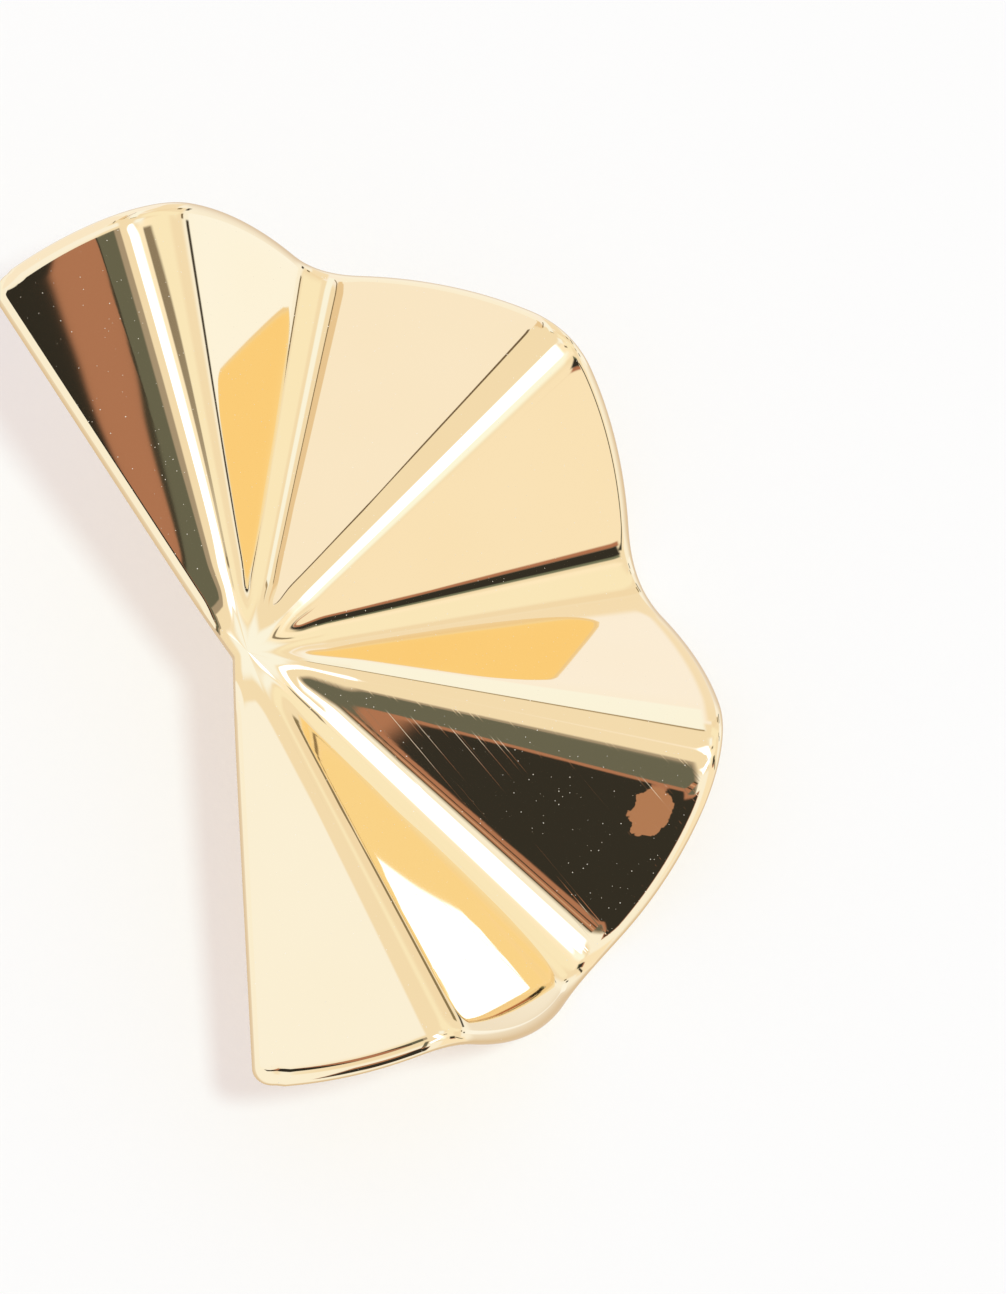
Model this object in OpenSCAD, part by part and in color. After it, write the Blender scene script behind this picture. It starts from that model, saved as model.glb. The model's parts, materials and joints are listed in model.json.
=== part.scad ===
// Pleated fan ear stud, lying as it comes to rest on a flat surface.
// The sheet is described in its own frame: the pivot of the folds is at the origin, X runs
// along the middle valley and Z points to the front. The last section lays it down.

/* [Fan sheet] */
// Radius of the curved rim, measured along the metal
fan_radius = 24; // [20:0.5:30]
// Distance from the pivot of the folds to the centre of the rim, along the middle valley
rim_ahead = 1.9; // [0:0.1:3]
// Angle from one outer corner to the other
fan_sweep = 214; // [200:1:224]
// Thickness of the metal
sheet_wall = 0.75; // [0.6:0.05:1.2]
// Reach of the sheet behind the pivot, to the notch where its straight sides meet
hub_reach = 0.6; // [0.4:0.1:1.2]

/* [Folds] */
// Slope of a crest line over the plane of the fan
fold_slope = 10.6; // [7:0.2:12]
// Rounding of a fold to each side of its line, as an angle at the pivot
fold_soften = 4; // [2:0.5:6]
// Rounding that a fold has besides, as a width to each side of its line
fold_round = 0.8; // [0.4:0.1:1.2]
// Distance from the pivot in which the folds fade out
hub_fade = 2.5; // [1.2:0.1:3.2]

/* [Edges] */
// Width of the rounded lip along the curved rim
rim_lip = 0.85; // [0.4:0.05:1]
// Width of the rounded edge along the straight sides
side_lip = 0.25; // [0.15:0.05:0.5]
// Radius that an outer corner has inside its lip
corner_core = 0.2; // [0.1:0.05:1]
// Radius of the edges at the back
back_round = 0.15; // [0.05:0.05:0.2]
// Radius of the notch behind the pivot
notch_round = 0.4; // [0.2:0.1:0.8]

/* [Ear post] */
// Diameter of the pin that passes through the ear lobe
post_diameter = 0.85; // [0.7:0.05:1]
// Free length of the pin, from its foot to its tip
post_length = 9.4; // [8.6:0.2:11]
// Distance of the pin from the pivot, on the ridge that the middle valley makes at the back
post_ahead = 6.6; // [6:0.2:8]
// Diameter of the foot of the pin
foot_diameter = 1.7; // [1.4:0.1:1.9]
// Thickness of the foot
foot_wall = 0.4; // [0.3:0.05:0.8]
// Height of the boss that the foot sits on, over the ridge
boss_height = 0.3; // [0.2:0.05:0.6]
// Gap between the foot and the boss
seat_gap = 0.04; // [0.02:0.01:0.1]
// Rim of the boss that stays clear around the foot
boss_margin = 0.05; // [0.05:0.01:0.1]

/* [Hidden] */
// Columns of the fold table.
TURN = 0; // share of half the sweep, from the middle valley
RISE = 1; // share of the crest slope, up for a crest and down for a valley
SOFT = 2; // share of the fold's rounding angle
FOLDS = [
    [-0.81, 1.00, 0.50],
    [-0.505, -1.08, 1.00],
    [-0.26, 1.05, 1.25],
    [0.00, -1.00, 1.00],
    [0.26, 0.96, 0.80],
    [0.515, -0.96, 0.65],
    [0.80, 0.95, 1.30],
];
MIDDLE_VALLEY = 3;
LOWER_VALLEY = 1;
// The two corners, as shares of half the sweep.
FIRST_CORNER_TURN = -1.015;
LAST_CORNER_TURN = 0.985;
// The line behind the pivot in which the two end facets would meet, as a share of the slope.
BACK_RISE = -3.3;

half_sweep = fan_sweep / 2;
corner_round = rim_lip + corner_core;
// Depth of a rounded edge, as a share of its width or of the wall that the back's edge leaves.
lip_fall_share = 0.9;
// Largest share of the angle between two folds that one of their rounds takes.
soft_limit_share = 0.48;
// Share of the metal that stays over the top of the boss.
boss_cover_share = 0.2;
// Inner rows of the sheet, as shares of the rim's radius.
INNER_SHARES = [0.02, 0.04, 0.07, 0.11, 0.17, 0.3];
post_radius = post_diameter / 2;
// Height of the pin's round part, which ends inside the foot.
pin_height = post_length - post_radius + foot_wall / 2;
boss_radius = foot_diameter / 2 + boss_margin;
// Turn of the lying stud about the upright axis.
lay_turn = 23.4;
post_sides = 48;

// Angle and slope of every fold line, closed by the line behind the pivot at both ends.
fold_angles = concat([-180], [for (row = FOLDS) row[TURN] * half_sweep], [180]);
fold_rises = concat([BACK_RISE], [for (row = FOLDS) row[RISE]], [BACK_RISE]) * tan(fold_slope);
facet_count = len(fold_angles) - 1;

function polar(radius, angle) = radius * [cos(angle), sin(angle)];
function unit(v) = v / norm(v);
function angle_of(p) = atan2(p[1], p[0]);
function left_of(v) = [-v[1], v[0]];

// Rise per unit of radius of the flat facet after fold i, continued to any angle.
function facet_rise(i, angle) =
    (fold_rises[i] * sin(fold_angles[i + 1] - angle) + fold_rises[i + 1] * sin(angle - fold_angles[i]))
    / sin(fold_angles[i + 1] - fold_angles[i]);

// Index of the facet that holds an angle.
function facet_at(angle, i = 0) =
    i == facet_count - 1 || angle <= fold_angles[i + 1] ? i : facet_at(angle, i + 1);

// Angle from inner fold k to the nearer of the two folds beside it.
function fold_gap(k) = min(fold_angles[k] - fold_angles[k - 1], fold_angles[k + 1] - fold_angles[k]);

// Angle to each side of inner fold k that its round takes at a radius.
function soft_angle(k, radius) =
    min(soft_limit_share * fold_gap(k), FOLDS[k - 1][SOFT] * fold_soften + atan2(fold_round, radius));

// Rise near inner fold k, where the two facets are joined by a round of equal curvature.
function softened_rise(k, angle, radius) =
    let (
        before = facet_rise(k - 1, angle),
        after = facet_rise(k, angle),
        bend = facet_rise(k, fold_angles[k] + 90) - facet_rise(k - 1, fold_angles[k] + 90),
        across = sin(angle - fold_angles[k]),
        edge = sin(soft_angle(k, radius))
    )
    (before + after) / 2 + bend / 2 * (across * across + edge * edge) / (2 * edge);

// Rise per unit of radius at any place.
function rise_at(angle, radius) =
    let (
        i = facet_at(angle),
        near_start = i > 0 && angle - fold_angles[i] < soft_angle(i, radius),
        near_end = i < facet_count - 1 && fold_angles[i + 1] - angle < soft_angle(i + 1, radius)
    )
    near_start ? softened_rise(i, angle, radius)
    : near_end ? softened_rise(i + 1, angle, radius)
    : facet_rise(i, angle);

// Height of the front over the plane of the fan, flattened about the pivot.
function faded(radius) = radius * radius / sqrt(radius * radius + hub_fade * hub_fade);
function front_height(p) = faded(norm(p)) * rise_at(angle_of(p), norm(p));

function back_height(p) = front_height(p) - sheet_wall;
function ease(x) = let (t = min(1, max(0, x))) t * t * (3 - 2 * t);

// The boss starts inside the metal and ends flat, square to the plane of the fan.
boss_top = front_height([post_ahead, 0]) - boss_cover_share * sheet_wall;
boss_base = back_height([post_ahead, 0]) - boss_height;

// Place of the rim in plan, nearer to the pivot where the metal slopes.
function rim_reach(angle) =
    rim_ahead * cos(angle) + sqrt(pow(fan_radius, 2) - pow(rim_ahead * sin(angle), 2));
function rim_point(angle) =
    polar(rim_reach(angle) / sqrt(1 + pow(rise_at(angle, fan_radius), 2)), angle);

// Arc of a given radius that rounds the corner between two directions, both leading away from it.
function corner_reach(radius, to_a, to_b) =
    let (half = acos(to_a * to_b) / 2) radius / tan(half);
function corner_arc(corner, radius, to_a, to_b, steps) =
    let (
        half = acos(to_a * to_b) / 2,
        centre = corner + unit(to_a + to_b) * radius / sin(half),
        start = corner + to_a * corner_reach(radius, to_a, to_b) - centre,
        end = corner + to_b * corner_reach(radius, to_a, to_b) - centre,
        turn = let (d = angle_of(end) - angle_of(start)) d > 180 ? d - 360 : d < -180 ? d + 360 : d
    )
    [for (k = [0:steps]) centre + polar(radius, angle_of(start) + turn * k / steps)];

// The outline in plan, counter-clockwise: rim, corner, side, notch, side, corner.
corner_steps = 5;
side_steps = 7;
notch = polar(hub_reach, 180);
first_turn = FIRST_CORNER_TURN * half_sweep;
last_turn = LAST_CORNER_TURN * half_sweep;
first_corner = rim_point(first_turn);
last_corner = rim_point(last_turn);
first_side = unit(notch - first_corner);
last_side = unit(notch - last_corner);
first_rim = left_of(unit(first_corner));
last_rim = -left_of(unit(last_corner));
function rim_skip(corner, to_rim, to_side) =
    atan(corner_reach(corner_round, to_rim, to_side) / norm(corner));
rim_start = first_turn + rim_skip(first_corner, first_rim, first_side);
rim_end = last_turn - rim_skip(last_corner, last_rim, last_side);

// Angles of the rim: close over each fold's round and wider between the folds.
fold_steps = 3;
facet_steps = 4;
inner_folds = [1:facet_count - 1];
soft_starts = [for (k = inner_folds) fold_angles[k] - soft_angle(k, fan_radius)];
soft_ends = [for (k = inner_folds) fold_angles[k] + soft_angle(k, fan_radius)];
open_starts = concat([rim_start], soft_ends);
open_ends = concat(soft_starts, [rim_end]);
function spread(from, to, first, last, steps) = [for (j = [first:last]) from + (to - from) * j / steps];
rim_angles = [for (k = [0:len(open_starts) - 1]) each concat(
    spread(open_starts[k], open_ends[k], 1, facet_steps - 1, facet_steps),
    k < len(soft_starts) ? spread(soft_starts[k], soft_ends[k], 0, 2 * fold_steps, 2 * fold_steps) : []
)];
first_arc = corner_arc(first_corner, corner_round, first_side, first_rim, corner_steps);
last_arc = corner_arc(last_corner, corner_round, last_rim, last_side, corner_steps);
notch_arc = corner_arc(notch, notch_round, -last_side, -first_side, corner_steps);

// Each outline point carries the width of its lip: [point, lip].
outline = concat(
    [for (a = rim_angles) [rim_point(a), rim_lip]],
    [for (k = [0:corner_steps])
        [last_arc[k], rim_lip + (side_lip - rim_lip) * ease(k / corner_steps)]],
    [for (p = spread(last_arc[corner_steps], notch_arc[0], 1, side_steps - 1, side_steps)) [p, side_lip]],
    [for (p = notch_arc) [p, side_lip]],
    [for (p = spread(notch_arc[corner_steps], first_arc[0], 1, side_steps - 1, side_steps)) [p, side_lip]],
    [for (k = [0:corner_steps])
        [first_arc[k], side_lip + (rim_lip - side_lip) * ease(k / corner_steps)]]
);
outline_count = len(outline);
function outline_point(i) = outline[(i + outline_count) % outline_count][0];
outward = [for (i = [0:outline_count - 1]) -left_of(unit(outline_point(i + 1) - outline_point(i - 1)))];

// Rings of the sheet from the front's middle over the edge to the back's middle.
lip_steps = 4;
back_steps = 2;
inner_radii = INNER_SHARES * fan_radius;
inner_count = len(inner_radii);

// Point on the way from the pivot to an outline point's inset, by the row of inner radii.
function inner_point(border, j) =
    unit(border) * min(inner_radii[j], norm(border) * (j + 1) / (inner_count + 1));
function front_border(i) = outline[i][0] - outward[i] * outline[i][1];
function back_border(i) = outline[i][0] - outward[i] * back_round;

function front_row(j) = [for (i = [0:outline_count - 1])
    let (p = inner_point(front_border(i), j)) [p[0], p[1], front_height(p)]];
function back_row(j) = [for (i = [0:outline_count - 1])
    let (p = inner_point(back_border(i), j)) [p[0], p[1], back_height(p)]];

// The front edge is a quarter of an ellipse, the back edge a quarter of a circle.
function lip_fall(lip) = lip_fall_share * min(lip, sheet_wall - back_round);
function lip_row(angle) = [for (i = [0:outline_count - 1])
    let (
        lip = outline[i][1],
        p = outline[i][0] - outward[i] * lip * (1 - sin(angle))
    )
    [p[0], p[1], front_height(p) - lip_fall(lip) * (1 - cos(angle))]];
function back_lip_row(angle) = [for (i = [0:outline_count - 1])
    let (p = outline[i][0] - outward[i] * back_round * (1 - cos(angle)))
    [p[0], p[1], back_height(p) + back_round * (1 - sin(angle))]];

rings = concat(
    [for (j = [0:inner_count - 1]) front_row(j)],
    [for (k = [0:lip_steps]) lip_row(90 * k / lip_steps)],
    [for (k = [0:back_steps]) back_lip_row(90 * k / back_steps)],
    [for (j = [inner_count - 1:-1:0]) back_row(j)]
);
ring_count = len(rings);
sheet_points = concat([[0, 0, 0]], [for (ring = rings) each ring], [[0, 0, -sheet_wall]]);
function at(ring, i) = 1 + ring * outline_count + i % outline_count;
sheet_faces = concat(
    [for (i = [0:outline_count - 1]) [0, at(0, i + 1), at(0, i)]],
    [for (ring = [0:ring_count - 2], i = [0:outline_count - 1]) each [
        [at(ring, i), at(ring, i + 1), at(ring + 1, i + 1)],
        [at(ring, i), at(ring + 1, i + 1), at(ring + 1, i)]
    ]],
    [for (i = [0:outline_count - 1])
        [len(sheet_points) - 1, at(ring_count - 1, i), at(ring_count - 1, i + 1)]]
);

// The stud lies on the tips of two valleys and on the round tip of the post.
foot_height = boss_base - seat_gap - foot_wall;
tip_centre = [post_ahead, 0, foot_height - post_length + post_radius];
edge_points = [for (k = [0:back_steps]) each back_lip_row(90 * k / back_steps)];
function tip_points(row) =
    [for (p = edge_points) if (abs(angle_of(p) - fold_angles[row + 1]) < fold_gap(row + 1) / 2) p];
valley_tips = [tip_points(MIDDLE_VALLEY), tip_points(LOWER_VALLEY)];
function lowest(points, normal) =
    let (heights = points * normal)
    points[search(min(heights), heights)[0]];
function contacts(normal) = [
    lowest(valley_tips[0], normal),
    lowest(valley_tips[1], normal),
    tip_centre - normal * post_radius
];
function upward(v) = v[2] < 0 ? -v : v;
function plane_normal(p) = upward(unit(cross(p[1] - p[0], p[2] - p[0])));
function rest_normal(normal, passes) =
    passes == 0 ? normal : rest_normal(plane_normal(contacts(normal)), passes - 1);
up = rest_normal([0, 0, 1], 8);
rest_level = min(tip_centre * up - post_radius, min(sheet_points * up));

// Axes of the surface that it lies on, told in the sheet's frame.
lay_x = unit(cross(cross(up, [cos(lay_turn), -sin(lay_turn), 0]), up));
lay_y = cross(up, lay_x);
function middle(values) = (min(values) + max(values)) / 2;
rest_middle = [middle(sheet_points * lay_x), middle(sheet_points * lay_y)];

module lay_down() {
    multmatrix([
        [lay_x[0], lay_x[1], lay_x[2], -rest_middle[0]],
        [lay_y[0], lay_y[1], lay_y[2], -rest_middle[1]],
        [up[0], up[1], up[2], -rest_level],
        [0, 0, 0, 1]
    ])
        children();
}

module pleated_fan() {
    color("gold")
        lay_down() {
            polyhedron(sheet_points, sheet_faces, convexity = 6);
            translate([post_ahead, 0, boss_base])
                cylinder(h = boss_top - boss_base, r = boss_radius, $fn = post_sides);
        }
}

module ear_post() {
    color("goldenrod")
        lay_down()
            translate([post_ahead, 0, foot_height]) {
                cylinder(h = foot_wall, d = foot_diameter, $fn = post_sides);
                translate([0, 0, post_radius - post_length]) {
                    cylinder(h = pin_height, r = post_radius, $fn = post_sides);
                    sphere(r = post_radius, $fn = post_sides);
                }
            }
}

pleated_fan();
ear_post();
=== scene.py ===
"""Looks of a pleated fan ear stud: mirror polished, pale gold, lying by itself on a white table."""

import json
import logging
import math
from dataclasses import dataclass, field
from enum import Enum

import bmesh
import bpy
from mathutils import Matrix, Vector


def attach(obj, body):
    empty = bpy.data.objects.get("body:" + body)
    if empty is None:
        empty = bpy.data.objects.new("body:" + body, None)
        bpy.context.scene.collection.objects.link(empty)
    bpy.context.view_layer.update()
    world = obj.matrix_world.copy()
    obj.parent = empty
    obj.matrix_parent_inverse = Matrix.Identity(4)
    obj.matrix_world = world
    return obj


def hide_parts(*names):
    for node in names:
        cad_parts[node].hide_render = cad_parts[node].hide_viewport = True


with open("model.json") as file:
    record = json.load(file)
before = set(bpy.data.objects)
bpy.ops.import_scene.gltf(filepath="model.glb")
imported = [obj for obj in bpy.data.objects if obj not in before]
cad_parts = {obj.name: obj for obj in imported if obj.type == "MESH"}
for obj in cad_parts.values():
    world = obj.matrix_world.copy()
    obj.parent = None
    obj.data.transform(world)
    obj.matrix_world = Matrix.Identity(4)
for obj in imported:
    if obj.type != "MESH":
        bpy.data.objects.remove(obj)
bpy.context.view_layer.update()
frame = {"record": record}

MM = 0.001
LOG = logging.getLogger("fan_stud")

Colour = tuple[float, float, float]
Value = float | bpy.types.NodeSocket


def ease(share: float) -> float:
    """Smooth step from 0 to 1.

    Args:
        share: Where the step has come to; values outside 0 to 1 are held there.

    Returns:
        The eased share.
    """
    held = min(1.0, max(0.0, share))
    return held * held * (3 - 2 * held)


def spread(start: float, end: float, steps: int) -> list[float]:
    """Even steps from start up to, but not onto, end.

    Args:
        start: First value.
        end: Value that the next stretch starts with.
        steps: How many steps the stretch has.

    Returns:
        The values.
    """
    return [start + (end - start) * k / steps for k in range(steps)]


def polar(radius: float, angle: float) -> Vector:
    """Point of the plan at a radius and an angle in degrees."""
    turn = math.radians(angle)
    return Vector((radius * math.cos(turn), radius * math.sin(turn)))


def angle_of(point: Vector) -> float:
    """Angle of a plan point about the pivot, in degrees."""
    return math.degrees(math.atan2(point.y, point.x))


def left_of(direction: Vector) -> Vector:
    """The direction turned a quarter to the left, in plan."""
    return Vector((-direction.y, direction.x))


@dataclass(frozen=True)
class Fold:
    """One crest or valley line that starts at the pivot.

    Attributes:
        turn: Its angle, as a share of half the sweep.
        rise: Its slope, as a share of the crest slope, below zero for a valley.
        soft: Its rounding, as a share of the common rounding angle.
    """

    turn: float
    rise: float
    soft: float


class Side(Enum):
    """The two straight sides of the fan, by the corner that each ends in."""

    FIRST = -1.015
    LAST = 0.985


@dataclass
class FanSheet:
    """The folded sheet in its own frame: pivot at the origin, middle valley along X, front up.

    All lengths are in millimetres and all angles in degrees.

    Attributes:
        fan_radius: Radius of the curved rim, measured along the metal.
        rim_ahead: Distance from the pivot to the centre of the rim.
        fan_sweep: Angle from one outer corner to the other.
        sheet_wall: Thickness of the metal.
        hub_reach: Reach of the sheet behind the pivot, to the notch.
        fold_slope: Slope of a crest line over the plane of the fan.
        fold_soften: Rounding of a fold to each side of its line, as an angle at the pivot.
        fold_round: Rounding that a fold has besides, as a width to each side of its line.
        hub_fade: Distance from the pivot in which the folds fade out.
        rim_lip: Width of the rounded lip along the rim.
        side_lip: Width of the rounded edge along the straight sides.
        corner_core: Radius that an outer corner has inside its lip.
        back_round: Radius of the edges at the back.
        notch_round: Radius of the notch behind the pivot.
        back_rise: Rise of the line behind the pivot, as a share of the crest slope.
        lip_fall_share: Depth of the lip, as a share of its width or of the wall that is left.
        soft_limit_share: Largest share of the angle between two folds that a round takes.
        folds: The crests and valleys, from the lower corner to the upper one.
        fold_steps: Steps of the rim over one side of a fold's round.
        facet_steps: Steps of the rim between two rounds.
        corner_steps: Steps of a corner's arc and of the notch.
        side_steps: Steps of a straight side.
        inner_rows: Rows of the front inside the lip.
        lip_rows: Rows of the lip.
        back_lip_rows: Rows of the edge at the back.
        back_rows: Rows of the back.
        row_growth: Power by which the rows grow wider from the pivot to the rim.
        angles: Angle of every fold line, closed behind the pivot at both ends.
        rises: Rise of every fold line per millimetre of radius.
    """

    fan_radius: float = 24.0
    rim_ahead: float = 1.9
    fan_sweep: float = 214.0
    sheet_wall: float = 0.75
    hub_reach: float = 0.6
    fold_slope: float = 10.6
    fold_soften: float = 4.0
    fold_round: float = 0.8
    hub_fade: float = 2.5
    rim_lip: float = 0.85
    side_lip: float = 0.25
    corner_core: float = 0.2
    back_round: float = 0.15
    notch_round: float = 0.4
    back_rise: float = -3.3
    lip_fall_share: float = 0.9
    soft_limit_share: float = 0.48
    folds: tuple[Fold, ...] = (
        Fold(-0.81, 1.00, 0.50),
        Fold(-0.505, -1.08, 1.00),
        Fold(-0.26, 1.05, 1.25),
        Fold(0.00, -1.00, 1.00),
        Fold(0.26, 0.96, 0.80),
        Fold(0.515, -0.96, 0.65),
        Fold(0.80, 0.95, 1.30),
    )
    fold_steps: int = 10
    facet_steps: int = 18
    corner_steps: int = 12
    side_steps: int = 20
    inner_rows: int = 60
    lip_rows: int = 10
    back_lip_rows: int = 4
    back_rows: int = 26
    row_growth: float = 1.5
    angles: list[float] = field(init=False)
    rises: list[float] = field(init=False)

    def __post_init__(self) -> None:
        """Works out every fold line's angle and rise, closed by the line behind the pivot."""
        slope = math.tan(math.radians(self.fold_slope))
        half = self.fan_sweep / 2
        self.angles = [-180.0, *[fold.turn * half for fold in self.folds], 180.0]
        self.rises = [r * slope for r in (self.back_rise, *[f.rise for f in self.folds], self.back_rise)]

    def facet_rise(self, i: int, angle: float) -> float:
        """Rise per millimetre of radius of the flat facet after fold i, continued to any angle.

        Args:
            i: Index of the fold line that the facet starts at.
            angle: Angle about the pivot.

        Returns:
            The rise.
        """
        start, end = self.angles[i], self.angles[i + 1]
        to_end, from_start, gap = (math.radians(x) for x in (end - angle, angle - start, end - start))
        return (self.rises[i] * math.sin(to_end) + self.rises[i + 1] * math.sin(from_start)) / math.sin(gap)

    def soft_angle(self, k: int, radius: float) -> float:
        """Angle to each side of inner fold k that its round takes at a radius.

        Args:
            k: Index of the fold line.
            radius: Distance from the pivot.

        Returns:
            The angle in degrees.
        """
        gap = min(self.angles[k] - self.angles[k - 1], self.angles[k + 1] - self.angles[k])
        wish = self.folds[k - 1].soft * self.fold_soften + math.degrees(math.atan2(self.fold_round, radius))
        return min(self.soft_limit_share * gap, wish)

    def softened_rise(self, k: int, angle: float, radius: float) -> float:
        """Rise near inner fold k, where the two facets are joined by a round.

        Args:
            k: Index of the fold line.
            angle: Angle about the pivot.
            radius: Distance from the pivot.

        Returns:
            The rise per millimetre of radius.
        """
        square = self.angles[k] + 90
        bend = self.facet_rise(k, square) - self.facet_rise(k - 1, square)
        across = math.sin(math.radians(angle - self.angles[k]))
        edge = math.sin(math.radians(self.soft_angle(k, radius)))
        mean = (self.facet_rise(k - 1, angle) + self.facet_rise(k, angle)) / 2
        return mean + bend / 2 * (across * across + edge * edge) / (2 * edge)

    def rise_at(self, angle: float, radius: float) -> float:
        """Rise per millimetre of radius at any place.

        Args:
            angle: Angle about the pivot.
            radius: Distance from the pivot.

        Returns:
            The rise.
        """
        last = len(self.angles) - 2
        i = next((n for n in range(last) if angle <= self.angles[n + 1]), last)
        if i > 0 and angle - self.angles[i] < self.soft_angle(i, radius):
            return self.softened_rise(i, angle, radius)
        if i < last and self.angles[i + 1] - angle < self.soft_angle(i + 1, radius):
            return self.softened_rise(i + 1, angle, radius)
        return self.facet_rise(i, angle)

    def front_height(self, point: Vector) -> float:
        """Height of the front over the plane of the fan, flattened about the pivot.

        Args:
            point: Place in plan.

        Returns:
            The height.
        """
        radius = point.length
        if radius == 0:
            return 0.0
        faded = radius * radius / math.hypot(radius, self.hub_fade)
        return faded * self.rise_at(angle_of(point), radius)

    def back_height(self, point: Vector) -> float:
        """Height of the back, one wall below the front."""
        return self.front_height(point) - self.sheet_wall

    def rim_point(self, angle: float) -> Vector:
        """Place of the rim in plan, nearer to the pivot where the metal slopes.

        Args:
            angle: Angle about the pivot.

        Returns:
            The place.
        """
        turn = math.radians(angle)
        across = self.rim_ahead * math.sin(turn)
        reach = self.rim_ahead * math.cos(turn) + math.sqrt(self.fan_radius**2 - across**2)
        return polar(reach / math.hypot(1, self.rise_at(angle, self.fan_radius)), angle)

    def corner_reach(self, radius: float, to_a: Vector, to_b: Vector) -> float:
        """Length of each side that a round of a given radius takes at a corner."""
        return radius / math.tan(to_a.angle(to_b) / 2)

    def corner_arc(self, corner: Vector, radius: float, to_a: Vector, to_b: Vector) -> list[Vector]:
        """Arc that rounds the corner between two directions, both leading away from it.

        Args:
            corner: Place of the sharp corner.
            radius: Radius of the round.
            to_a: Unit direction that the arc starts from.
            to_b: Unit direction that the arc ends at.

        Returns:
            The arc's points.
        """
        half = to_a.angle(to_b) / 2
        reach = self.corner_reach(radius, to_a, to_b)
        centre = corner + (to_a + to_b).normalized() * radius / math.sin(half)
        begin, end = (angle_of(corner + side * reach - centre) for side in (to_a, to_b))
        turn = (end - begin + 180) % 360 - 180
        steps = self.corner_steps
        return [centre + polar(radius, begin + turn * k / steps) for k in range(steps + 1)]

    def rim_angles(self, start: float, end: float) -> list[float]:
        """Angles of the rim's points: close over each fold's round and wider between the folds.

        Args:
            start: Angle where the rim leaves the first corner's arc.
            end: Angle where it meets the last corner's arc.

        Returns:
            The angles, without the two ends.
        """
        inner = range(1, len(self.angles) - 1)
        soft = [self.soft_angle(k, self.fan_radius) for k in inner]
        stops = [start]
        for k, wide in zip(inner, soft):
            stops += [self.angles[k] - wide, self.angles[k] + wide]
        stops.append(end)
        counts = [self.facet_steps, 2 * self.fold_steps] * len(soft) + [self.facet_steps]
        places = [a for low, high, n in zip(stops, stops[1:], counts) for a in spread(low, high, n)]
        return places[1:]

    def outline(self) -> list[tuple[Vector, float]]:
        """The outline in plan, counter-clockwise: rim, corner, side, notch, side, corner.

        Returns:
            Each point with the width that its rounded edge has.
        """
        half = self.fan_sweep / 2
        notch = polar(self.hub_reach, 180)
        round_out = self.rim_lip + self.corner_core
        first, last = (self.rim_point(side.value * half) for side in Side)
        first_side, last_side = (notch - first).normalized(), (notch - last).normalized()
        first_rim, last_rim = left_of(first.normalized()), -left_of(last.normalized())
        first_arc = self.corner_arc(first, round_out, first_side, first_rim)
        last_arc = self.corner_arc(last, round_out, last_rim, last_side)
        notch_arc = self.corner_arc(notch, self.notch_round, -last_side, -first_side)
        rim = self.rim_angles(angle_of(first_arc[-1]), angle_of(last_arc[0]))
        blend = [ease(k / self.corner_steps) for k in range(self.corner_steps + 1)]
        thin = self.side_lip - self.rim_lip
        points = [(self.rim_point(a), self.rim_lip) for a in rim]
        points += [(p, self.rim_lip + thin * b) for p, b in zip(last_arc, blend)]
        points += self.side_points(last_arc[-1], notch_arc[0])
        points += [(p, self.side_lip) for p in notch_arc]
        points += self.side_points(notch_arc[-1], first_arc[0])
        points += [(p, self.side_lip - thin * b) for p, b in zip(first_arc, blend)]
        return points

    def side_points(self, start: Vector, end: Vector) -> list[tuple[Vector, float]]:
        """Points of one straight side between its two arcs, each with the edge's width."""
        shares = spread(0.0, 1.0, self.side_steps)[1:]
        return [(start.lerp(end, share), self.side_lip) for share in shares]


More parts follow.
